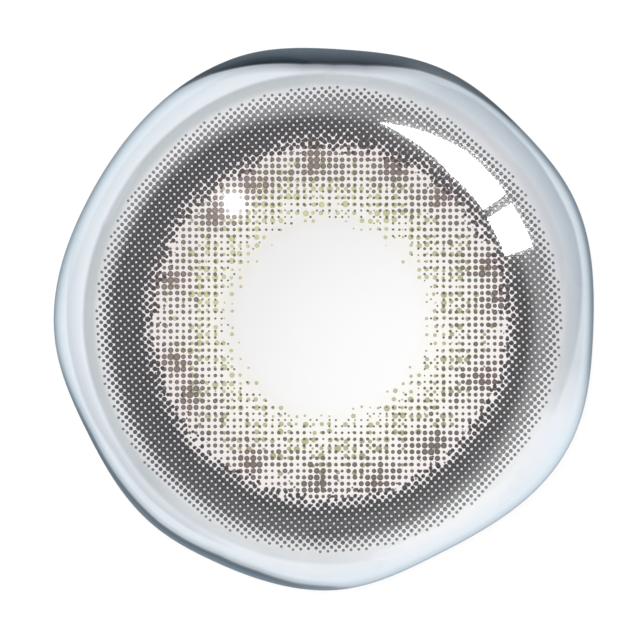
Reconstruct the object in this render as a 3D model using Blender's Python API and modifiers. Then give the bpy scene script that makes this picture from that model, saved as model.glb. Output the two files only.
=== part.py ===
# Cosmetic soft contact lens lying rim down on a table, front of the dome up.
# Metres, +Z up. The lens axis is Z and the table is the plane Z = 0.

import math

import bpy

# Hydrogel shell
LENS_DIAMETER = 0.0142
BASE_CURVE_RADIUS = 0.0086
RIM_CURVE_RADIUS = 0.0115
RIM_WIDTH = 0.00074
JUNCTION_BLEND = 0.00001
CENTRE_THICKNESS = 0.0001
JUNCTION_THICKNESS = 0.00018
EDGE_THICKNESS = 0.00012

# How the soft rim lies: its low places are pressed flat, and it waves up and out between them.
# Each row is an angle in degrees, then how far the edge lies out of round and how far it lifts.
REST_PRESS = 0.000008
REST_LIFT = 0.00001
RIM_WAVE = (
    (27, 0.00004, 0.00010),
    (44, -0.00003, 0.0),
    (65, 0.00008, 0.00014),
    (86, -0.00004, 0.0),
    (111, 0.00017, 0.00024),
    (151, -0.00004, 0.0),
    (181, 0.00013, 0.00022),
    (207, -0.00009, 0.0),
    (229, 0.00002, 0.00010),
    (246, -0.00005, 0.0),
    (268, 0.00003, 0.00012),
    (297, -0.00030, 0.0),
    (332, 0.00002, 0.00016),
    (358, -0.00018, 0.0),
)

# Printed fields of colour under the base curve
PUPIL_DIAMETER = 0.0050
PRINT_MARGIN = 0.00026
LIMBAL_RING_WIDTH = 0.00135
FRINGE_WIDTH = 0.00035
FIELD_LAP = 0.0002
INK_THICKNESS = 0.000012
INK_GAP = 0.000012
FRINGE_RAY = 0.00025
IRIS_RAY = 0.0003
LIMBAL_RAY = 0.0004
OUTER_RAY = 0.0001

# Facets
RAY_COUNT = 48
SEGMENTS = 2 * RAY_COUNT
FACET_LENGTH = 0.0006
PUPIL_FACETS = 3
RIM_FACETS = 3
NOSE_FACETS = 6
MERGE_DISTANCE = 1e-7
SHARP_ANGLE = math.radians(50)

# Radii that follow from the sizes above
LENS_RADIUS = LENS_DIAMETER / 2
PUPIL_RADIUS = PUPIL_DIAMETER / 2
JUNCTION_RADIUS = LENS_RADIUS - RIM_WIDTH
PRINT_RADIUS = JUNCTION_RADIUS - PRINT_MARGIN
LIMBAL_RADIUS = PRINT_RADIUS - LIMBAL_RING_WIDTH


def sphere_height(curve_radius, radius):
    return math.sqrt(curve_radius**2 - radius**2)


def back_height(radius):
    """Height of the back surface above the centre of the base curve, with its two curves blended."""
    base = sphere_height(BASE_CURVE_RADIUS, radius)
    step = sphere_height(BASE_CURVE_RADIUS, JUNCTION_RADIUS) - sphere_height(RIM_CURVE_RADIUS, JUNCTION_RADIUS)
    rim = sphere_height(RIM_CURVE_RADIUS, radius) + step
    return (base + rim) / 2 + math.hypot((base - rim) / 2, JUNCTION_BLEND)


def slope_angle(radius):
    """How steeply the back surface falls outwards, in radians."""
    reach = FACET_LENGTH / 100
    fall = back_height(max(radius - reach, 0)) - back_height(radius + reach)
    return math.atan2(fall, radius + reach - max(radius - reach, 0))


def edge_radius():
    """Where the back surface ends, so that the rounded edge reaches the lens diameter."""
    slope = slope_angle(LENS_RADIUS - EDGE_THICKNESS)
    return LENS_RADIUS - EDGE_THICKNESS / 2 * (1 + math.sin(slope))


def thickness(radius):
    if radius < JUNCTION_RADIUS:
        share = (radius / JUNCTION_RADIUS) ** 2
        return CENTRE_THICKNESS + (JUNCTION_THICKNESS - CENTRE_THICKNESS) * share
    share = (radius - JUNCTION_RADIUS) / (edge_radius() - JUNCTION_RADIUS)
    return JUNCTION_THICKNESS + (EDGE_THICKNESS - JUNCTION_THICKNESS) * share


def off_back(radius, distance):
    """The point this far outwards from the back surface along its normal."""
    slope = slope_angle(radius) if radius else 0
    return radius + distance * math.sin(slope), back_height(radius) + distance * math.cos(slope)


def steps(start, end, count):
    return [start + (end - start) * i / count for i in range(count)]


def facets_between(start, end):
    return max(1, math.ceil(abs(end - start) / FACET_LENGTH - 1e-6))


def table_height():
    """Height of the table above the centre of the base curve, a little into the rounded edge."""
    return off_back(edge_radius(), EDGE_THICKNESS / 2)[1] - EDGE_THICKNESS / 2 + REST_PRESS


def nose_points():
    """The rounded edge from the front surface round to the back, flat where it meets the table."""
    middle_radius, middle_height = off_back(edge_radius(), EDGE_THICKNESS / 2)
    front = math.pi / 2 - slope_angle(edge_radius())
    points = []
    for i in range(NOSE_FACETS + 1):
        turn = front - math.pi * i / NOSE_FACETS
        height = middle_height + EDGE_THICKNESS / 2 * math.sin(turn)
        points.append((middle_radius + EDGE_THICKNESS / 2 * math.cos(turn), max(height, table_height())))
    return points


def shell_profile():
    """Section of the shell from the front apex down to the edge and up the back to the axis."""
    stations = steps(0, PUPIL_RADIUS, PUPIL_FACETS)
    stations += steps(PUPIL_RADIUS, PRINT_RADIUS, facets_between(PUPIL_RADIUS, PRINT_RADIUS))
    stations += steps(PRINT_RADIUS, JUNCTION_RADIUS, 1)
    stations += steps(JUNCTION_RADIUS, edge_radius(), RIM_FACETS)
    front = [off_back(radius, thickness(radius)) for radius in stations]
    back = [(radius, back_height(radius)) for radius in reversed(stations)]
    return front + nose_points() + back


def turned(name, profile):
    """Mesh of a profile of (radius, height) points turned round the lens axis."""
    outline = bpy.data.meshes.new(name + "_profile")
    edges = [(i, i + 1) for i in range(len(profile) - 1)]
    outline.from_pydata([(radius, 0, height) for radius, height in profile], edges, [])
    guide = bpy.data.objects.new(name + "_profile", outline)
    bpy.context.scene.collection.objects.link(guide)
    screw = guide.modifiers.new("turn", "SCREW")
    screw.angle = 2 * math.pi
    screw.steps = SEGMENTS
    screw.render_steps = SEGMENTS
    screw.use_merge_vertices = True
    screw.merge_threshold = MERGE_DISTANCE
    mesh = bpy.data.meshes.new_from_object(guide.evaluated_get(bpy.context.evaluated_depsgraph_get()))
    bpy.data.objects.remove(guide)
    mesh.name = name
    return mesh


def rim_wave(angle):
    """How far the edge lies out of round and how far it lifts at this angle, in degrees."""
    before = RIM_WAVE[-1]
    before = (before[0] - 360, before[1], before[2])
    for row in RIM_WAVE + ((RIM_WAVE[0][0] + 360, RIM_WAVE[0][1], RIM_WAVE[0][2]),):
        if angle <= row[0]:
            share = (1 - math.cos(math.pi * (angle - before[0]) / (row[0] - before[0]))) / 2
            outwards = before[1] + (row[1] - before[1]) * share
            lift = before[2] + (row[2] - before[2]) * share
            return outwards, max(0, lift - REST_LIFT)
        before = row
    return before[1], before[2]


def wave_rim(mesh):
    """Lets the rim wave. It moves most at the edge and not at all from the print inwards."""
    for vertex in mesh.vertices:
        radius = math.hypot(vertex.co.x, vertex.co.y)
        share = min(1, max(0, (radius - PRINT_RADIUS) / (edge_radius() - PRINT_RADIUS)))
        share = share**2 * (3 - 2 * share)
        if share:
            outwards, lift = rim_wave(math.degrees(math.atan2(vertex.co.y, vertex.co.x)) % 360)
            scale = 1 + outwards * share / radius
            vertex.co = (vertex.co.x * scale, vertex.co.y * scale, vertex.co.z + lift * share)


def ray(angle, depth):
    """How far a field's ragged edge draws back at this angle: every other facet, in rays of uneven length."""
    number = round(angle / (2 * math.pi) * SEGMENTS)
    uneven = 0.6 + 0.25 * math.sin(5 * angle) + 0.15 * math.sin(11 * angle + 1)
    return depth * uneven * (number % 2)


def print_field(name, inner, outer, inner_ray, outer_ray, layer):
    """One field of print: a ring of ink of even thickness under the base curve, with ragged edges."""
    ink_radius = BASE_CURVE_RADIUS - INK_GAP - layer * (INK_THICKNESS + INK_GAP)
    count = facets_between(inner, outer)
    radii = [inner + (outer - inner) * i / count for i in range(count + 1)]
    mesh = turned(name, [(radius, sphere_height(ink_radius, radius)) for radius in radii])
    for vertex in mesh.vertices:
        radius = math.hypot(vertex.co.x, vertex.co.y)
        angle = math.atan2(vertex.co.y, vertex.co.x)
        share = (radius - inner) / (outer - inner)
        wanted = radius + (1 - share) * ray(angle, inner_ray) - share * ray(angle, outer_ray)
        height = sphere_height(ink_radius, wanted)
        vertex.co = (vertex.co.x * wanted / radius, vertex.co.y * wanted / radius, height)
    return mesh


def finish(name, colour, roughness, transmission=0.0, ior=1.45):
    material = bpy.data.materials.new(name)
    material.use_nodes = True
    shader = material.node_tree.nodes["Principled BSDF"]
    shader.inputs["Base Color"].default_value = (*colour, 1)
    shader.inputs["Roughness"].default_value = roughness
    shader.inputs["Metallic"].default_value = 0
    shader.inputs["Transmission Weight"].default_value = transmission
    shader.inputs["IOR"].default_value = ior
    material.diffuse_color = (*colour, 1)
    return material


def placed(mesh, material, collection, parent):
    """An object for the mesh, measured from the centre of the base curve."""
    mesh.shade_smooth()
    mesh.set_sharp_from_angle(angle=SHARP_ANGLE)
    mesh.materials.append(material)
    item = bpy.data.objects.new(mesh.name, mesh)
    item.parent = parent
    collection.objects.link(item)
    return item


def inked(item):
    """Gives a field of print its thickness, away from the shell."""
    ink = item.modifiers.new("ink", "SOLIDIFY")
    ink.thickness = INK_THICKNESS
    ink.offset = -1
    ink.use_even_offset = True


def build():
    for item in list(bpy.data.objects):
        bpy.data.objects.remove(item)
    collection = bpy.data.collections.new("contact_lens")
    bpy.context.scene.collection.children.link(collection)
    centre = bpy.data.objects.new("base_curve_centre", None)
    centre.location.z = -table_height()
    collection.objects.link(centre)

    shell = turned("lens_body", shell_profile())
    wave_rim(shell)
    hydrogel = finish("hydrogel", (0.80, 0.88, 0.93), 0.05, 0.9, 1.42)
    placed(shell, hydrogel, collection, centre)

    limbal = print_field("tint_limbal_ring", LIMBAL_RADIUS, PRINT_RADIUS, LIMBAL_RAY, OUTER_RAY, 0)
    slate = finish("slate_ink", (0.071, 0.067, 0.080), 0.6)
    inked(placed(limbal, slate, collection, centre))

    iris_inner = PUPIL_RADIUS + FRINGE_WIDTH
    iris_outer = LIMBAL_RADIUS + FIELD_LAP + LIMBAL_RAY
    iris = print_field("tint_iris_ring", iris_inner, iris_outer, IRIS_RAY, 0, 1)
    brown = finish("brown_ink", (0.159, 0.122, 0.127), 0.6)
    inked(placed(iris, brown, collection, centre))

    inner = print_field("tint_inner_ring", PUPIL_RADIUS, iris_outer, FRINGE_RAY, 0, 2)
    green = finish("yellow_green_ink", (0.558, 0.610, 0.296), 0.6)
    inked(placed(inner, green, collection, centre))


build()
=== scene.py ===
import math
import random

import bmesh
import bpy
from mathutils import Matrix, Vector


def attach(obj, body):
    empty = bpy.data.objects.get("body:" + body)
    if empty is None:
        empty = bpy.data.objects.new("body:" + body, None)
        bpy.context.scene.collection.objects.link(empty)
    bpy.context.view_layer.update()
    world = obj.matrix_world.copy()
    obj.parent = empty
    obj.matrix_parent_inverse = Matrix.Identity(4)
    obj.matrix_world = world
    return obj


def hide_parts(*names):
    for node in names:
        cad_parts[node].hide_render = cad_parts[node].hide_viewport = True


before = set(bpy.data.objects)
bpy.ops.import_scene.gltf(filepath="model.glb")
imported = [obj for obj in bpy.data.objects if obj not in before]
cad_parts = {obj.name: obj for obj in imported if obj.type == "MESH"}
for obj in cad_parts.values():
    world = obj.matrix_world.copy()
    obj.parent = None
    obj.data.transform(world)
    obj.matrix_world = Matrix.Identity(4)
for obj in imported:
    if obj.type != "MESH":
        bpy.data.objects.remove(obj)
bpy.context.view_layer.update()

# A tinted soft contact lens, rim down on a pale table. Sizes here are in mm and degrees, and mm takes
# them to metres. The lens axis is Z, the table is z = 0, and an angle turns anticlockwise from +X, seen
# from above. Lists by angle run once round from listStart.
mm = 0.001
listStart = -30


# sRGB hex to the linear colour that a shader takes
def hexColour(code):
    parts = [int(code[i:i + 2], 16) / 255 for i in (0, 2, 4)]
    return (*[c / 12.92 if c <= 0.04045 else ((c + 0.055) / 1.055) ** 2.4 for c in parts], 1)


# adds a node with its settings, and gives its sockets their values or links
def addNode(tree, kind, links, **settings):
    made = tree.nodes.new(kind)
    for name, value in settings.items():
        if name != "stops":
            setattr(made, name, value)
            continue
        while len(made.color_ramp.elements) < len(value):
            made.color_ramp.elements.new(1)
        for element, (place, colour) in zip(made.color_ramp.elements, value):
            element.position = place
            element.color = hexColour(colour)
    for name, value in links.items():
        if isinstance(value, bpy.types.NodeSocket):
            tree.links.new(value, made.inputs[name])
        else:
            made.inputs[name].default_value = value
    return made


def maths(tree, operation, first, second):
    return addNode(tree, "ShaderNodeMath", {0: first, 1: second}, operation=operation).outputs[0]


# takes a value's range from low to high over to one from start to end
def mapRange(tree, value, low, high, start=0, end=1, kind="LINEAR"):
    links = {0: value, 1: low, 2: high, 3: start, 4: end}
    return addNode(tree, "ShaderNodeMapRange", links, interpolation_type=kind).outputs[0]


# goes from the first colour to the second by share
def mixColours(tree, share, first, second, blend="MIX"):
    links = {0: share, 6: first, 7: second}
    return addNode(tree, "ShaderNodeMix", links, data_type="RGBA", blend_type=blend).outputs[2]


def attribute(tree, name, output="Fac"):
    return addNode(tree, "ShaderNodeAttribute", {}, attribute_name=name).outputs[output]


# noise with waves this many mm long, and the bump that it makes
def noiseBump(tree, place, look):
    noise = addNode(tree, "ShaderNodeTexNoise", {"Vector": place, "Scale": 1 / (look["wave"] * mm),
                                                 "Detail": look["detail"]}).outputs["Fac"]
    bump = addNode(tree, "ShaderNodeBump", {"Height": noise, "Strength": look["strength"],
                                            "Distance": look["relief"] * mm}).outputs[0]
    return noise, bump


# a new material with an empty node tree and its output
def newMaterial(name):
    material = bpy.data.materials.new(name)
    material.use_nodes = True
    material.node_tree.nodes.clear()
    return material, material.node_tree, material.node_tree.nodes.new("ShaderNodeOutputMaterial")


# straight-line value of a list of (place, value) stops
def between(place, stops):
    for (a, low), (b, high) in zip(stops, stops[1:]):
        if place <= b:
            return low + (high - low) * min(1, max(0, (place - a) / (b - a)))
    return stops[-1][1]


# a share from 0 to 1 that starts and ends softly
def smooth(share):
    share = min(1, max(0, share))
    return share * share * (3 - 2 * share)


# level unit vector
def direction(angle):
    return Vector((math.cos(math.radians(angle)), math.sin(math.radians(angle)), 0))


# Shell: one sheet of hydrogel, a base curve with a flatter rim beyond a junction, and a rounded edge
shell = {
    "diameter": 14.2, "baseCurve": 8.6, "rimCurve": 11.5, "rimWidth": 0.74, "blend": 0.01,
    "centre": 0.10, "junction": 0.18, "edge": 0.12,      # thicknesses
    "printRadius": 6.10,                                 # the rim waves only outside the print
    "press": 0.008, "lift": 0.01,                        # how far the low places are pressed flat
    "frontSteps": 30, "junctionSteps": 5, "rimSteps": 14, "noseSteps": 12, "turnSteps": 360, "merge": 1e-5,
    "slot": "hydrogel",
}
# angle, how far the edge lies out of round there, and how far it lifts off the table
rimWave = (
    (27, 0.04, 0.10), (44, -0.03, 0), (65, 0.08, 0.14), (86, -0.04, 0), (111, 0.17, 0.24), (151, -0.04, 0),
    (181, 0.13, 0.22), (207, -0.09, 0), (229, 0.02, 0.10), (246, -0.05, 0), (268, 0.03, 0.12),
    (297, -0.30, 0), (332, 0.02, 0.16), (358, -0.18, 0),
)
lensRadius = shell["diameter"] / 2
junctionRadius = lensRadius - shell["rimWidth"]


def sphereHeight(curve, radius):
    return math.sqrt(curve ** 2 - radius ** 2)


# height of the eye side above the centre of the base curve
def backHeight(radius):
    base = sphereHeight(shell["baseCurve"], radius)
    rim = sphereHeight(shell["rimCurve"], radius)
    atJunction = [sphereHeight(shell[curve], junctionRadius) for curve in ("baseCurve", "rimCurve")]
    rim += atJunction[0] - atJunction[1]
    return (base + rim) / 2 + math.hypot((base - rim) / 2, shell["blend"])


def backSlope(radius, reach=0.006):
    inner = max(radius - reach, 0)
    return math.atan2(backHeight(inner) - backHeight(radius + reach), radius + reach - inner)


edgeRadius = lensRadius - shell["edge"] / 2 * (1 + math.sin(backSlope(lensRadius - shell["edge"])))


def thickness(radius):
    if radius < junctionRadius:
        return shell["centre"] + (shell["junction"] - shell["centre"]) * (radius / junctionRadius) ** 2
    share = (radius - junctionRadius) / (edgeRadius - junctionRadius)
    return shell["junction"] + (shell["edge"] - shell["junction"]) * share


# the point this far outwards from the eye side, as (radius, height)
def offBack(radius, distance):
    slope = backSlope(radius) if radius else 0
    return radius + distance * math.sin(slope), backHeight(radius) + distance * math.cos(slope)


tableHeight = offBack(edgeRadius, shell["edge"] / 2)[1] - shell["edge"] / 2 + shell["press"]


def rimShift(angle):
    rows = ((rimWave[-1][0] - 360, *rimWave[-1][1:]), *rimWave, (rimWave[0][0] + 360, *rimWave[0][1:]))
    for before, after in zip(rows, rows[1:]):
        if angle <= after[0]:
            share = (1 - math.cos(math.pi * (angle - before[0]) / (after[0] - before[0]))) / 2
            outwards, lift = [a + (b - a) * share for a, b in zip(before[1:], after[1:])]
            return outwards, max(0, lift - shell["lift"])


def sectionPoints():
    stations = []
    for start, end, count in (
        (0, shell["printRadius"], shell["frontSteps"]),
        (shell["printRadius"], junctionRadius, shell["junctionSteps"]),
        (junctionRadius, edgeRadius, shell["rimSteps"]),
    ):
        stations += [start + (end - start) * i / count for i in range(count)]
    front = [offBack(radius, thickness(radius)) for radius in stations]
    middleRadius, middleHeight = offBack(edgeRadius, shell["edge"] / 2)
    nose = []
    for i in range(shell["noseSteps"] + 1):
        turn = math.pi / 2 - backSlope(edgeRadius) - math.pi * i / shell["noseSteps"]
        height = max(middleHeight + shell["edge"] / 2 * math.sin(turn), tableHeight)
        nose.append((middleRadius + shell["edge"] / 2 * math.cos(turn), height))
    return front + nose + [(radius, backHeight(radius)) for radius in reversed(stations)]


# gives a bmesh to a new object at the origin
def finished(name, bm, material, smoothed):
    mesh = bpy.data.meshes.new(name)
    bm.to_mesh(mesh)
    bm.free()
    mesh.materials.append(material)
    mesh.polygons.foreach_set("use_smooth", [smoothed] * len(mesh.polygons))
    item = bpy.data.objects.new(name, mesh)
    bpy.context.scene.collection.objects.link(item)
    return item


# share of the light that the film on the gel throws back there
def filmShare(radius, angle):
    film = hydrogel["film"]
    (start, thin), (full, end) = film["inner"], film["outer"]
    thickFrom = between(angle, film["thickFrom"])
    stops = ((start, 0), (thin, film["thin"]), (thickFrom, film["thin"]),
             (thickFrom + film["rise"], film["thick"]), (full, film["thick"]), (end, 0))
    return between(radius, stops) * between(angle, film["around"])


# what each value of the rows of a list by angle comes to at an angle
def rowAt(angle, rows):
    return [between(angle, [(row[0], row[i]) for row in rows]) for i in range(1, len(rows[0]))]


def makeShell(material):
    bm = bmesh.new()
    points = [bm.verts.new((radius, 0, height - tableHeight)) for radius, height in sectionPoints()]
    section = [bm.edges.new(pair) for pair in zip(points, points[1:])]
    bmesh.ops.spin(bm, geom=points + section, cent=(0, 0, 0), axis=(0, 0, 1), angle=2 * math.pi,
                   steps=shell["turnSteps"], use_merge=True)
    bmesh.ops.remove_doubles(bm, verts=bm.verts[:], dist=shell["merge"])
    bmesh.ops.recalc_face_normals(bm, faces=bm.faces[:])
    rest = bm.verts.layers.float.new("reach")       # each point's radius before the rim waves
    film = bm.verts.layers.float.new("film")
    sides = bm.verts.layers.float_vector.new("sides")
    marks = {shade["name"]: bm.verts.layers.float_vector.new(shade["name"]) for shade in shades}
    for vert in bm.verts:
        radius = vert.co.xy.length
        vert[rest] = radius
        angle = (math.degrees(math.atan2(vert.co.y, vert.co.x)) - listStart) % 360 + listStart
        vert[film] = filmShare(radius, angle)
        # painted shade by side: how much the right and then the low colours rule at this angle
        vert[sides] = (*rowAt(angle, hydrogel["sides"]), 0)
        share = smooth((radius - shell["printRadius"]) / (edgeRadius - shell["printRadius"]))
        if share:
            outwards, lift = rimShift(angle % 360)
            vert.co.xy *= 1 + outwards * share / radius
            vert.co.z += lift * share
        for shade in shades:                        # how far past the shade's edge, and its strengths
            edge, *strengths = rowAt(angle, shade["edge"])
            vert[marks[shade["name"]]] = (vert.co.xy.length - edge, strengths[0], strengths[-1])
    bmesh.ops.scale(bm, vec=(mm, mm, mm), verts=bm.verts[:])
    return finished("hydrogel_shell", bm, material, True)


# Soft contact lens hydrogel, cast in a mould and wet: clear, glossy, with a faint blue handling tint. Its
# colour also holds painted shade: greyer next to the junction, bluer in the rim, darker to the left and top
# than low right, a dark painted line round the edge, and painted slate bands where light would run along
# the wavy edge.
hydrogel = {
    "ior": 1.42, "roughness": 0, "shadow": "f2f2f2",
    # The film of solution on it blurs reflections. Thin and thick are the shares of light that it throws
    # back. It starts and ends over two ranges of radius, rises to thick from a radius that changes with the
    # angle, and is weaker round a part of the lens.
    "film": {
        "roughness": 0.2, "thin": 0.01, "thick": 0.1, "inner": (2.8, 3.4), "outer": (6.05, 6.2),
        "rise": 0.45,
        "thickFrom": ((-30, 5.0), (5, 5.0), (20, 4.72), (75, 4.72), (92, 5.0), (108, 5.15), (120, 5.27),
                      (135, 5.32), (165, 5.40), (182, 5.0), (330, 5.0)),
        "around": ((-30, 1), (160, 1), (178, 0.1), (205, 0.15), (228, 0.45), (252, 0.75), (280, 1),
                   (330, 1)),
    },
    # the wet surface is not quite even: waves about 1.5 mm long and under a micron high
    "waves": {"wave": 1.5, "detail": 1, "strength": 0.3, "relief": 0.001},
    # radius in mm and the colour that light keeps through the sheet: all round, and further out by side.
    # Past the print these are partly the blue tint and partly painted shade: a grey band inside the
    # junction, darker to the left and right than low down, and a dark painted line at the very edge.
    "printTints": ((0, "ffffff"), (2.3, "ffffff"), (2.6, "fffdfa"), (3.2, "fffcf6"), (3.9, "fffbf7"),
                   (4.6, "fef8f7")),
    "rimTintsAndShade": {
        "left": ((5.20, "efeef0"), (5.60, "f2f1f4"), (5.95, "eeeef1"), (6.08, "e0e2e5"), (6.18, "c9cdd0"),
                 (6.29, "c4c9cd"), (6.38, "c0c6cb"), (6.42, "ebf1f6"), (6.74, "e0e8ef"), (6.78, "e9f1f8"),
                 (6.88, "dfe9f1"), (6.96, "cbd8e1"), (7.02, "aab8c3"), (7.10, "7c8a96")),
        "right": ((5.20, "efeef0"), (5.60, "f2f1f4"), (5.95, "eeeef1"), (6.08, "e1e3e7"), (6.18, "d2d5da"),
                  (6.29, "ccd0d5"), (6.42, "cfd5db"), (6.60, "d1d8e0"), (6.76, "d2dae2"), (6.82, "dbe5ed"),
                  (6.88, "d6e0e9"), (6.94, "c6d2db"), (7.01, "919ea9"), (7.10, "687581")),
        "low": ((5.20, "f4f3f5"), (6.00, "fcfdfe"), (6.18, "fbfdff"), (6.50, "f5f9fe"), (6.88, "eaf3fa"),
                (7.02, "d4e0ea"), (7.10, "9aabb8")),
    },
    # angle, how much the right side's painted shade rules there, and then the low side's
    "sides": ((-30, 0, 1), (-24, 0.2, 0.95), (-10, 1, 0.2), (5, 1, 0), (52, 1, 0), (70, 0.6, 0),
              (84, 0.3, 0), (100, 0, 0), (222, 0, 0), (235, 0, 0.35), (255, 0, 0.48), (270, 0, 0.6),
              (290, 0, 1), (330, 0, 1)),
    # painted shade: the clear middle goes from far to near, greyer towards this angle, and this fades out
    # between the two radii
    "middle": {"angle": 150, "reach": 2.45, "near": "f5f5f5", "far": "ffffff", "radii": (2.5, 3.2)},
}
# Painted shade across the rim: two dark folds, slate bands painted where light would run along the wavy
# edge, and two softer painted arcs. Each row of an edge is an angle, the radius of the edge there and how
# strong the lead is, which rises over its width up to the edge. A fold has a shade of its own past the
# edge, from near to far over its depth, and its rows end with how strong that one is.
shades = (
    {"name": "top_fold", "lead": "7f868e", "leadWidth": 0.26,
     "near": "1f262e", "far": "5f6c77", "depth": 0.36,
     "edge": ((40, 7.06, 0, 0), (44, 7.03, 0, 0.2), (48, 7.00, 0.1, 0.65), (56, 6.985, 0.25, 0.75),
              (62, 6.97, 0.3, 0.8), (70, 6.90, 0.4, 0.85), (74.5, 6.815, 0.5, 0.95), (82, 6.68, 0.9, 1),
              (89, 6.640, 1, 1), (96, 6.690, 0.9, 1), (106, 6.905, 0.6, 1), (116, 7.10, 0.4, 0.95),
              (124, 7.18, 0.2, 0.7), (134, 7.20, 0, 0))},
    {"name": "low_fold", "lead": "8a949e", "leadWidth": 0.17,
     "near": "4e5b67", "far": "8797a4", "depth": 0.20,
     "edge": ((188, 7.08, 0, 0), (194, 7.035, 0.1, 0.4), (200, 6.955, 0.3, 0.65), (206, 6.905, 0.4, 0.85),
              (218, 6.93, 0.5, 0.95), (230, 6.95, 0.5, 1), (236, 6.915, 0.6, 1), (245, 6.840, 0.7, 1),
              (254, 6.875, 0.8, 1), (263, 6.98, 0.6, 0.9), (270, 7.00, 0.3, 0.7), (278, 7.10, 0, 0))},
    {"name": "right_arc", "lead": "b2bcc5", "leadWidth": 0.42,
     "edge": ((-26, 6.30, 0), (-17, 6.364, 0.3), (-7, 6.453, 0.6), (4, 6.592, 1), (12, 6.707, 1),
              (21, 6.804, 1), (29, 6.802, 1), (37, 6.817, 1), (46, 6.820, 1), (50, 6.835, 1),
              (57, 6.86, 0.8), (64, 6.77, 0.6), (72, 6.70, 0))},
    {"name": "left_arc", "lead": "cdd3da", "leadWidth": 0.34,
     "edge": ((158, 6.92, 0), (170, 6.90, 0.5), (186, 6.84, 0.8), (195, 6.77, 1), (203, 6.71, 1),
              (212, 6.615, 1), (225, 6.65, 1), (236, 6.60, 0.9), (249, 6.50, 0))},
)
shadeBlur = 0.012      # half the width of the change at a shade's edge


def makeHydrogel():
    material, tree, output = newMaterial("hydrogel_cast_wet_painted_shade")
    reach = attribute(tree, "reach")
    share = maths(tree, "MULTIPLY", reach, 1 / lensRadius)
    place = addNode(tree, "ShaderNodeTexCoord", {}).outputs["Object"]
    ramps = {}
    # each side's colours by radius: the tint, with painted shade past the print
    for side, rimTintsAndShade in hydrogel["rimTintsAndShade"].items():
        stops = [(radius / lensRadius, tint) for radius, tint in (*hydrogel["printTints"], *rimTintsAndShade)]
        ramps[side] = addNode(tree, "ShaderNodeValToRGB", {"Fac": share}, stops=stops).outputs["Color"]
    # painted shade: the rim's left, right and low colours mixed by side
    sides = addNode(tree, "ShaderNodeSeparateXYZ", {0: attribute(tree, "sides", "Vector")}).outputs
    colour = mixColours(tree, sides[0], ramps["left"], ramps["right"])
    colour = mixColours(tree, sides[1], colour, ramps["low"])
    # painted shade over the clear middle, greyer towards one side
    middle = hydrogel["middle"]
    towards = addNode(tree, "ShaderNodeVectorMath", {0: place, 1: direction(middle["angle"]) / mm},
                      operation="DOT_PRODUCT").outputs["Value"]
    tilt = mapRange(tree, towards, -middle["reach"], middle["reach"])
    paintedMiddleShade = mixColours(tree, tilt, hexColour(middle["far"]), hexColour(middle["near"]))
    within = mapRange(tree, reach, *middle["radii"], 1, 0, "SMOOTHSTEP")
    colour = mixColours(tree, within, colour, paintedMiddleShade, "MULTIPLY")
    # painted shade: the rim's folds and arcs laid over the colour
    for shade in shades:
        marks = attribute(tree, shade["name"], "Vector")
        away, leading, strength = addNode(tree, "ShaderNodeSeparateXYZ", {0: marks}).outputs
        rise = maths(tree, "MULTIPLY", mapRange(tree, away, -shade["leadWidth"], 0), leading)
        rise = maths(tree, "MULTIPLY", rise, maths(tree, "LESS_THAN", away, shadeBlur))
        colour = mixColours(tree, rise, colour, hexColour(shade["lead"]))
        if "depth" in shade:
            fade = mapRange(tree, away, 0, shade["depth"])
            tint = mixColours(tree, fade, hexColour(shade["near"]), hexColour(shade["far"]))
            past = maths(tree, "MULTIPLY", mapRange(tree, away, -shadeBlur, shadeBlur), strength)
            colour = mixColours(tree, past, colour, tint)
    bump = noiseBump(tree, place, hydrogel["waves"])[1]
    sheet = addNode(tree, "ShaderNodeBsdfPrincipled", {
        "Base Color": colour, "Roughness": hydrogel["roughness"], "IOR": hydrogel["ior"],
        "Transmission Weight": 1, "Normal": bump})
    film = addNode(tree, "ShaderNodeBsdfGlossy", {
        "Roughness": hydrogel["film"]["roughness"], "Normal": bump})
    wet = addNode(tree, "ShaderNodeMixShader", {0: attribute(tree, "film"), 1: sheet.outputs[0],
                                                2: film.outputs[0]})
    # lamps light the print and the table through the thin sheet
    shadow = addNode(tree, "ShaderNodeBsdfTransparent", {"Color": hexColour(hydrogel["shadow"])})
    path = addNode(tree, "ShaderNodeLightPath", {}).outputs
    surface = addNode(tree, "ShaderNodeMixShader", {0: path["Is Shadow Ray"], 1: wet.outputs[0],
                                                    2: shadow.outputs[0]})
    tree.links.new(surface.outputs[0], output.inputs["Surface"])
    return material


# Print: dots of pigment ink, pad printed on the eye side in three passes. Each dot is a round puck of ink.
inkFilm = {"thickness": 0.012, "gap": 0.012, "stagger": 0.002}

slatePrint = {
    "name": "slate_ring_dots", "slot": "slate_ink", "node": "tint_limbal_ring", "layer": 0, "seed": 11,
    "pitch": 0.1417, "turn": 48.6, "inner": 4.24, "outer": 6.06, "sides": 12,
    # radius in mm, then a dot's radius there, and the share of the places there that have a dot
    "sizes": ((4.58, 0.040), (4.75, 0.056), (4.91, 0.067), (5.03, 0.081), (5.50, 0.081), (5.62, 0.075),
              (5.76, 0.064), (5.92, 0.049), (6.06, 0.037)),
    "keep": ((4.57, 0), (4.58, 0.25), (4.71, 0.75), (4.81, 1.0)),
    # radius, then how much the dots there vary in size, as a share, and how far they stray
    "uneven": ((4.70, 0.14), (4.95, 0.05), (5.05, 0.01), (6.10, 0.01)), "drift": ((4.80, 0.007), (5.00, 0)),
    "offset": (-0.018, -0.026),
    # how far the ring's inner edge wanders, how far it comes in towards an angle, and where both fade out
    "inkEdge": 0.06, "lean": (110, 0.20), "leanEnd": 5.1, "leanFade": 0.4,
    # specks of ink along the ring's inner edge
    "crumbs": 280, "crumbInner": 4.40, "crumbOuter": 4.95, "crumbSize": (0.012, 0.028), "crumbSides": 8,
}
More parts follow.
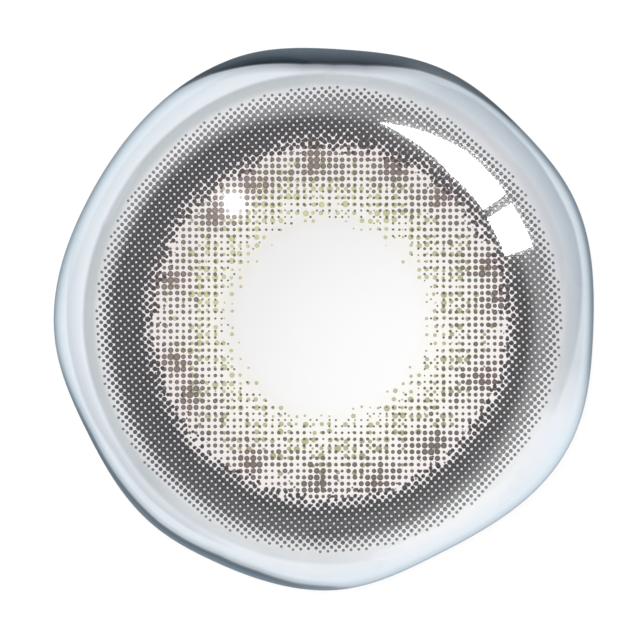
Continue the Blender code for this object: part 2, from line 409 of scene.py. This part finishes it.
brownPrint = {
    "name": "brown_iris_dots", "slot": "brown_ink", "node": "tint_iris_ring", "layer": 1, "seed": 23,
    "pitch": 0.1656, "turn": 0, "inner": 2.62, "outer": 4.80, "sides": 12,
    "sizes": ((2.62, 0.025), (2.95, 0.031), (3.30, 0.040), (3.80, 0.051), (4.15, 0.050), (4.50, 0.048),
              (4.80, 0.045)),
    "keep": ((2.62, 0.35), (2.85, 0.75), (3.10, 1.0)),
    "uneven": ((2.62, 0.16), (4.84, 0.16)), "drift": ((2.62, 0.002), (4.84, 0.002)), "offset": (0, 0),
    # dots are larger near a clump; clumpTurn is how far one strays round the ring, as a share of their step
    "clumps": 15, "clumpRadius": 4.22, "clumpDrift": 0.20, "clumpTurn": 0.3, "clumpReach": 0.36,
    "clumpGain": 0.036,
    # how much larger the dots are towards an angle, the radius it starts from, and how narrow it is
    "lean": (92, 0.007), "leanFrom": 3.4, "leanFade": 0.4, "leanPower": 4,
}
greenPrint = {
    "name": "yellow_green_dots", "slot": "yellow_green_ink", "node": "tint_inner_ring", "layer": 2,
    "seed": 37, "pitch": 0.212, "turn": 0, "inner": 2.40, "outer": 4.45, "sides": 12,
    "sizes": ((2.40, 0.030), (2.66, 0.046), (2.95, 0.058), (3.40, 0.063), (4.00, 0.056), (4.45, 0.040)),
    "keep": ((2.40, 0.25), (2.58, 0.70), (2.75, 0.90), (3.40, 0.90), (3.80, 0.60), (4.45, 0.25)),
    "uneven": ((2.40, 0.26), (4.45, 0.26)), "drift": ((2.40, 0.012), (4.45, 0.012)), "offset": (0, 0),
}
smallestDot, mostOfPitch = 0.018, 0.56      # a dot's least radius, and its largest as a share of pitch
edgeWaves = ((9, 0.5), (17, 0.3), (31, 0.2))          # waves round the lens, and how far each wanders


# crossings of a print's square lattice between its two radii, as (column, row, place)
def lattice(look):
    count = math.ceil(look["outer"] / look["pitch"])
    turn = Matrix.Rotation(math.radians(look["turn"]), 2)
    for column in range(-count, count + 1):
        for row in range(-count, count + 1):
            place = turn @ Vector((column, row)) * look["pitch"]
            if look["inner"] <= place.length <= look["outer"]:
                yield column, row, place


# slow wander round the lens, between -1 and 1
def wander(place, seed):
    angle = math.atan2(place.y, place.x)
    return sum(size * math.sin(count * angle + (i + 1) * seed) for i, (count, size) in enumerate(edgeWaves))


# the print's dots on its lattice, as (place, radius, sides, how many staggers down it lies); extra is what
# a place adds to a dot's radius, and pull how far its place counts as nearer the axis
def latticeDots(look, pick, extra=lambda place: 0, pull=lambda place: 0):
    dots = []
    for column, row, place in lattice(look):
        chance, size = pick.random(), pick.gauss(0, 1)
        drift = between(place.length, look["drift"]) * Vector((pick.gauss(0, 1), pick.gauss(0, 1)))
        reach = place.length - pull(place)
        if chance < between(reach, look["keep"]):
            radius = between(reach, look["sizes"]) * (1 + between(reach, look["uneven"]) * size)
            radius = max(smallestDot, min(radius + extra(place), mostOfPitch * look["pitch"]))
            dots.append((place + drift + Vector(look["offset"]), radius, look["sides"], (column + row) % 2))
    return dots


def slateDots():
    look = slatePrint
    pick = random.Random(look["seed"])
    towards = direction(look["lean"][0]).xy

    def pull(place):
        leaning = look["lean"][1] * (1 + place.normalized().dot(towards)) / 2
        fade = smooth((look["leanEnd"] - place.length) / look["leanFade"])
        return (look["inkEdge"] * wander(place, look["seed"]) - leaning) * fade

    dots = latticeDots(look, pick, pull=pull)
    for _ in range(look["crumbs"]):
        radius = look["crumbInner"] + (look["crumbOuter"] - look["crumbInner"]) * pick.random()
        place = direction(360 * pick.random()).xy
        place *= radius - look["lean"][1] * (1 + place.dot(towards)) / 2
        dots.append((place, pick.uniform(*look["crumbSize"]), look["crumbSides"], 2))
    return dots


def brownDots():
    look = brownPrint
    pick = random.Random(look["seed"])
    clumps = []
    for i in range(look["clumps"]):
        radius = look["clumpRadius"] + look["clumpDrift"] * pick.uniform(-1, 1)
        step = i + pick.uniform(-look["clumpTurn"], look["clumpTurn"])
        clumps.append((radius * direction(step * 360 / look["clumps"])).xy)
    towards = direction(look["lean"][0]).xy

    def extra(place):
        gains = [math.exp(-((place - clump).length / look["clumpReach"]) ** 2) for clump in clumps]
        aimed = max(0, place.normalized().dot(towards)) ** look["leanPower"]
        aimed *= smooth((place.length - look["leanFrom"]) / look["leanFade"])
        return look["clumpGain"] * min(1, sum(gains)) + look["lean"][1] * aimed

    return latticeDots(look, pick, extra=extra)


def greenDots():
    return latticeDots(greenPrint, random.Random(greenPrint["seed"]))


def makePrint(look, dots, material, batch=80):
    layerStep = inkFilm["thickness"] + inkFilm["gap"]
    inkRadius = shell["baseCurve"] - inkFilm["gap"] - look["layer"] * layerStep
    whole = bmesh.new()
    part = bpy.data.meshes.new("part")
    for start in range(0, len(dots), batch):         # a small bmesh at a time is much faster
        bm = bmesh.new()
        inward = bm.verts.layers.float.new("inward")        # distance in from the dot's edge
        drop = bm.verts.layers.float.new("drop")
        for place, radius, sides, low in dots[start:start + batch]:
            made = bmesh.ops.create_circle(bm, cap_ends=True, cap_tris=True, segments=sides, radius=radius,
                                           matrix=Matrix.Translation((place.x, place.y, 0)))
            for vert in made["verts"]:
                vert[inward] = radius if (vert.co.xy - place).length < radius / 2 else 0
                vert[drop] = low * inkFilm["stagger"]
        under = bmesh.ops.extrude_face_region(bm, geom=bm.faces[:], use_keep_orig=True)["geom"]
        for vert in under:
            if isinstance(vert, bmesh.types.BMVert):
                vert[drop] += inkFilm["thickness"]
        for vert in bm.verts:
            vert.co.z = sphereHeight(inkRadius, vert.co.xy.length) - tableHeight - vert[drop]
        bmesh.ops.recalc_face_normals(bm, faces=bm.faces[:])
        bmesh.ops.scale(bm, vec=(mm, mm, mm), verts=bm.verts[:])
        bm.to_mesh(part)
        bm.free()
        whole.from_mesh(part)
    bpy.data.meshes.remove(part)
    return finished(look["name"], whole, material, False)


# Pigment inks cured in the gel surface: matt and nearly opaque, a little denser round the edge of each dot
# where the wet ink drew outwards, and mottled by the pigment. Pigment clumps of about 0.01 mm are too fine
# to show, so they are drawn 0.05 mm wide. Cover is how opaque the ink is at two radii.
inks = {
    "slate": {"body": "303036", "edge": "29292e", "cover": ((5.70, 0.97), (6.08, 0.52))},
    "brown": {"body": "867974", "edge": "3b3235", "cover": ((2.60, 0.90), (4.80, 0.90))},
    "yellow_green": {"body": "cdcfa8", "edge": "c0c295", "cover": ((2.40, 0.86), (4.45, 0.80))},
}
pigment = {
    "roughness": 0.5, "ior": 1.45, "edgeWidth": 0.035, "mottle": 0.25, "noiseRange": (0.3, 0.7),
    "grain": {"wave": 0.05, "detail": 2, "strength": 0.4, "relief": 0.003},
}


def makeInk(name):
    look = inks[name]
    material, tree, output = newMaterial(name + "_ink_pad_printed")
    edge = mapRange(tree, attribute(tree, "inward"), 0, pigment["edgeWidth"], 1, 0, "SMOOTHSTEP")
    place = addNode(tree, "ShaderNodeTexCoord", {}).outputs["Object"]
    grain, bump = noiseBump(tree, place, pigment["grain"])
    mottle = mapRange(tree, grain, *pigment["noiseRange"], -pigment["mottle"], pigment["mottle"])
    amount = addNode(tree, "ShaderNodeMath", {0: edge, 1: mottle}, operation="ADD", use_clamp=True)
    colour = mixColours(tree, amount.outputs[0], hexColour(look["body"]), hexColour(look["edge"]))
    flat = addNode(tree, "ShaderNodeVectorMath", {0: place, 1: (1 / mm, 1 / mm, 0)}, operation="MULTIPLY")
    away = addNode(tree, "ShaderNodeVectorMath", {0: flat.outputs[0]}, operation="LENGTH")
    (start, full), (end, thin) = look["cover"]
    ink = addNode(tree, "ShaderNodeBsdfPrincipled", {
        "Base Color": colour, "Roughness": pigment["roughness"], "IOR": pigment["ior"],
        "Alpha": mapRange(tree, away.outputs["Value"], start, end, full, thin), "Normal": bump})
    tree.links.new(ink.outputs[0], output.inputs["Surface"])
    return material


lensShell = makeShell(makeHydrogel())
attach(lensShell, "root")
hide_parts("lens_body")
print("shell made:", len(lensShell.data.polygons), "faces")

for printLook, makeDots, inkName in (
    (slatePrint, slateDots, "slate"), (brownPrint, brownDots, "brown"),
    (greenPrint, greenDots, "yellow_green"),
):
    printDots = makeDots()
    printed = makePrint(printLook, printDots, makeInk(inkName))
    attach(printed, "root")
    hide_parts(printLook["node"])
    print(printLook["name"], "made:", len(printDots), "dots")


# Table: a pale matt sheet that reads white to the camera and keeps the soft shadow of the print
table = {
    "radius": 400, "drop": 0.02, "sides": 96, "colour": "7e7e7e", "glow": 0.80,
    "fibre": {"wave": 0.4, "detail": 3, "strength": 0.1, "relief": 0.002},
}


# matt paper, which also glows, but only to rays that show it and not as a lamp
def makeTable():
    material, tree, output = newMaterial("table_matt_paper")
    place = addNode(tree, "ShaderNodeTexCoord", {}).outputs["Object"]
    bump = noiseBump(tree, place, table["fibre"])[1]
    paper = addNode(tree, "ShaderNodeBsdfDiffuse", {"Color": hexColour(table["colour"]), "Normal": bump})
    path = addNode(tree, "ShaderNodeLightPath", {}).outputs
    seen = maths(tree, "MAXIMUM", path["Is Camera Ray"], path["Is Glossy Ray"])
    seen = maths(tree, "MAXIMUM", seen, path["Is Transmission Ray"])
    glow = addNode(tree, "ShaderNodeEmission", {"Strength": maths(tree, "MULTIPLY", seen, table["glow"])})
    both = addNode(tree, "ShaderNodeAddShader", {0: paper.outputs[0], 1: glow.outputs[0]})
    tree.links.new(both.outputs[0], output.inputs["Surface"])
    material.cycles.emission_sampling = "NONE"
    bm = bmesh.new()
    bmesh.ops.create_circle(bm, cap_ends=True, segments=table["sides"], radius=table["radius"] * mm,
                            matrix=Matrix.Translation((0, 0, -table["drop"] * mm)))
    return finished("table", bm, material, False)


makeTable()

# Light: a dim even room, one large soft box at the upper left, and cards that only reflections see. The
# room is brighter where the camera sees it, straight or through the gel.
room = {"light": 0.42, "seen": 1.0}
softBox = {"angle": 131, "elevation": 50, "distance": 300, "size": 200, "radiance": 7.0}


def makeRoom():
    world = bpy.data.worlds.new("studio")
    bpy.context.scene.world = world
    world.use_nodes = True
    tree = world.node_tree
    tree.nodes.clear()
    path = addNode(tree, "ShaderNodeLightPath", {}).outputs
    seen = maths(tree, "MAXIMUM", path["Is Camera Ray"], path["Is Transmission Ray"])
    strength = mapRange(tree, seen, 0, 1, room["light"], room["seen"])
    sky = addNode(tree, "ShaderNodeBackground", {"Color": hexColour("ffffff"), "Strength": strength})
    output = tree.nodes.new("ShaderNodeOutputWorld")
    tree.links.new(sky.outputs[0], output.inputs["Surface"])


def makeLamp(name, look):
    lamp = bpy.data.lights.new(name, "AREA")
    lamp.size = look["size"] * mm
    lamp.energy = look["radiance"] * math.pi * lamp.size ** 2
    item = bpy.data.objects.new(name, lamp)
    bpy.context.scene.collection.objects.link(item)
    rise = math.radians(look["elevation"])
    towards = direction(look["angle"]) * math.cos(rise) + Vector((0, 0, math.sin(rise)))
    item.location = towards * look["distance"] * mm
    item.rotation_euler = towards.to_track_quat("Z", "Y").to_euler()
    item.visible_glossy = False
    item.visible_transmission = False


# Cards are placed by where the dome shows them: a card covers a patch of the dome, from one angle to
# another and half its width to each side of a middle radius, and lies where the camera's straight-down rays
# go from there. Light is what a sharp reflection shows of it, and soft is what the film on the gel shows.
cards = {
    # taper is over how many degrees it comes to a point
    "window_pane_long": {"angles": (35.2, 76), "middle": 5.30, "half": 0.365, "taper": 26, "light": 45,
                         "soft": 12, "distance": 3},
    "window_pane_short": {"angles": (19.5, 32.4), "middle": 5.27, "half": 0.38, "light": 45, "soft": 12,
                          "distance": 3},
    # round is how steeply it fades from its middle
    "lamp_glint": {"angles": (127.4, 132.0), "middle": 3.93, "half": 0.22, "light": 60, "soft": 1000,
                   "distance": 4, "round": 1.6},
    # how bright it is along its angles, and how far its middle moves in towards an angle
    "room_haze": {"angles": (-95, 175), "middle": 5.78, "half": 0.46, "light": 0, "soft": 3.0,
                  "distance": 4, "lean": (40, 0.31),
                  "along": ((-95, 0), (-72, 0.57), (-55, 0.75), (-20, 0.82), (5, 0.8), (15, 0.67),
                            (35, 0.7), (60, 0.8), (82, 0.68), (100, 0.98), (120, 0.78), (134, 0.76),
                            (150, 0.6), (162, 0.4), (175, 0))},
}
cardGrid = (48, 16)         # squares along a card's angles, and across


def frontPoint(station):
    return offBack(station, thickness(station))


# place of the card's point that the dome shows at this angle and radius: a few rounds find the part of the
# sheet whose front is there, and its slope is taken over the reach
def mirrored(angle, radius, distance, rounds=6, reach=0.01):
    station = radius
    for _ in range(rounds):
        station -= frontPoint(station)[0] - radius
    ahead, behind = frontPoint(station + reach), frontPoint(station - reach)
    slope = math.atan2(behind[1] - ahead[1], ahead[0] - behind[0])
    away = direction(angle) * math.sin(2 * slope) + Vector((0, 0, math.cos(2 * slope)))
    start = direction(angle) * radius + Vector((0, 0, frontPoint(station)[1] - tableHeight))
    return (start + away * distance) * mm


def makeCard(name, look):
    material, tree, output = newMaterial(name)
    path = addNode(tree, "ShaderNodeLightPath", {}).outputs
    light = mapRange(tree, path["Is Singular Ray"], 0, 1, look["soft"], look["light"])
    light = mapRange(tree, path["Transmission Depth"], 0, 1, light, 0)      # none from inside the gel
    strength = maths(tree, "MULTIPLY", attribute(tree, "glow"), light)
    lit = addNode(tree, "ShaderNodeEmission", {"Strength": strength})
    tree.links.new(lit.outputs[0], output.inputs["Surface"])
    material.cycles.emission_sampling = "FRONT_BACK"
    bm = bmesh.new()
    shine = bm.verts.layers.float.new("glow")
    bmesh.ops.create_grid(bm, x_segments=cardGrid[0], y_segments=cardGrid[1], size=1)
    start, end = look["angles"]
    for vert in bm.verts:
        across, along = vert.co.y, vert.co.x
        angle = start + (end - start) * (along + 1) / 2
        middle, half = look["middle"], look["half"]
        if "taper" in look:
            half *= min(1, (end - angle) / look["taper"])
        if "lean" in look:
            middle -= look["lean"][1] * math.cos(math.radians(angle - look["lean"][0]))
        if "along" in look:
            vert[shine] = between(angle, look["along"]) * smooth(1 - abs(across))
        elif "round" in look:
            vert[shine] = smooth(look["round"] * (1 - math.hypot(across, along)))
        else:
            vert[shine] = 1
        vert.co = mirrored(angle, middle + half * across, look["distance"])
    card = finished(name, bm, material, False)
    card.visible_camera = False
    card.visible_diffuse = False
    card.visible_transmission = False
    card.visible_shadow = False


makeRoom()
makeLamp("soft_box", softBox)
for cardName, cardLook in cards.items():
    makeCard(cardName, cardLook)
print("table and light made")

# Camera: straight down, and square on everywhere, as the photo is from far off
photo = {"width": 640, "scale": 0.0262, "axis": (329.5, 318.5)}     # pixels, mm a pixel, the lens axis
view = {"height": 120, "near": 10, "far": 1000}


def makeCamera():
    camera = bpy.data.cameras.new("camera")
    camera.type = "ORTHO"
    camera.ortho_scale = photo["width"] * photo["scale"] * mm
    camera.clip_start = view["near"] * mm
    camera.clip_end = view["far"] * mm
    item = bpy.data.objects.new("camera", camera)
    bpy.context.scene.collection.objects.link(item)
    middle = photo["width"] / 2
    right = (middle - photo["axis"][0]) * photo["scale"] * mm
    up = (photo["axis"][1] - middle) * photo["scale"] * mm
    item.location = (right, up, view["height"] * mm)
    bpy.context.scene.camera = item


makeCamera()
bpy.context.scene.view_settings.view_transform = "Standard"
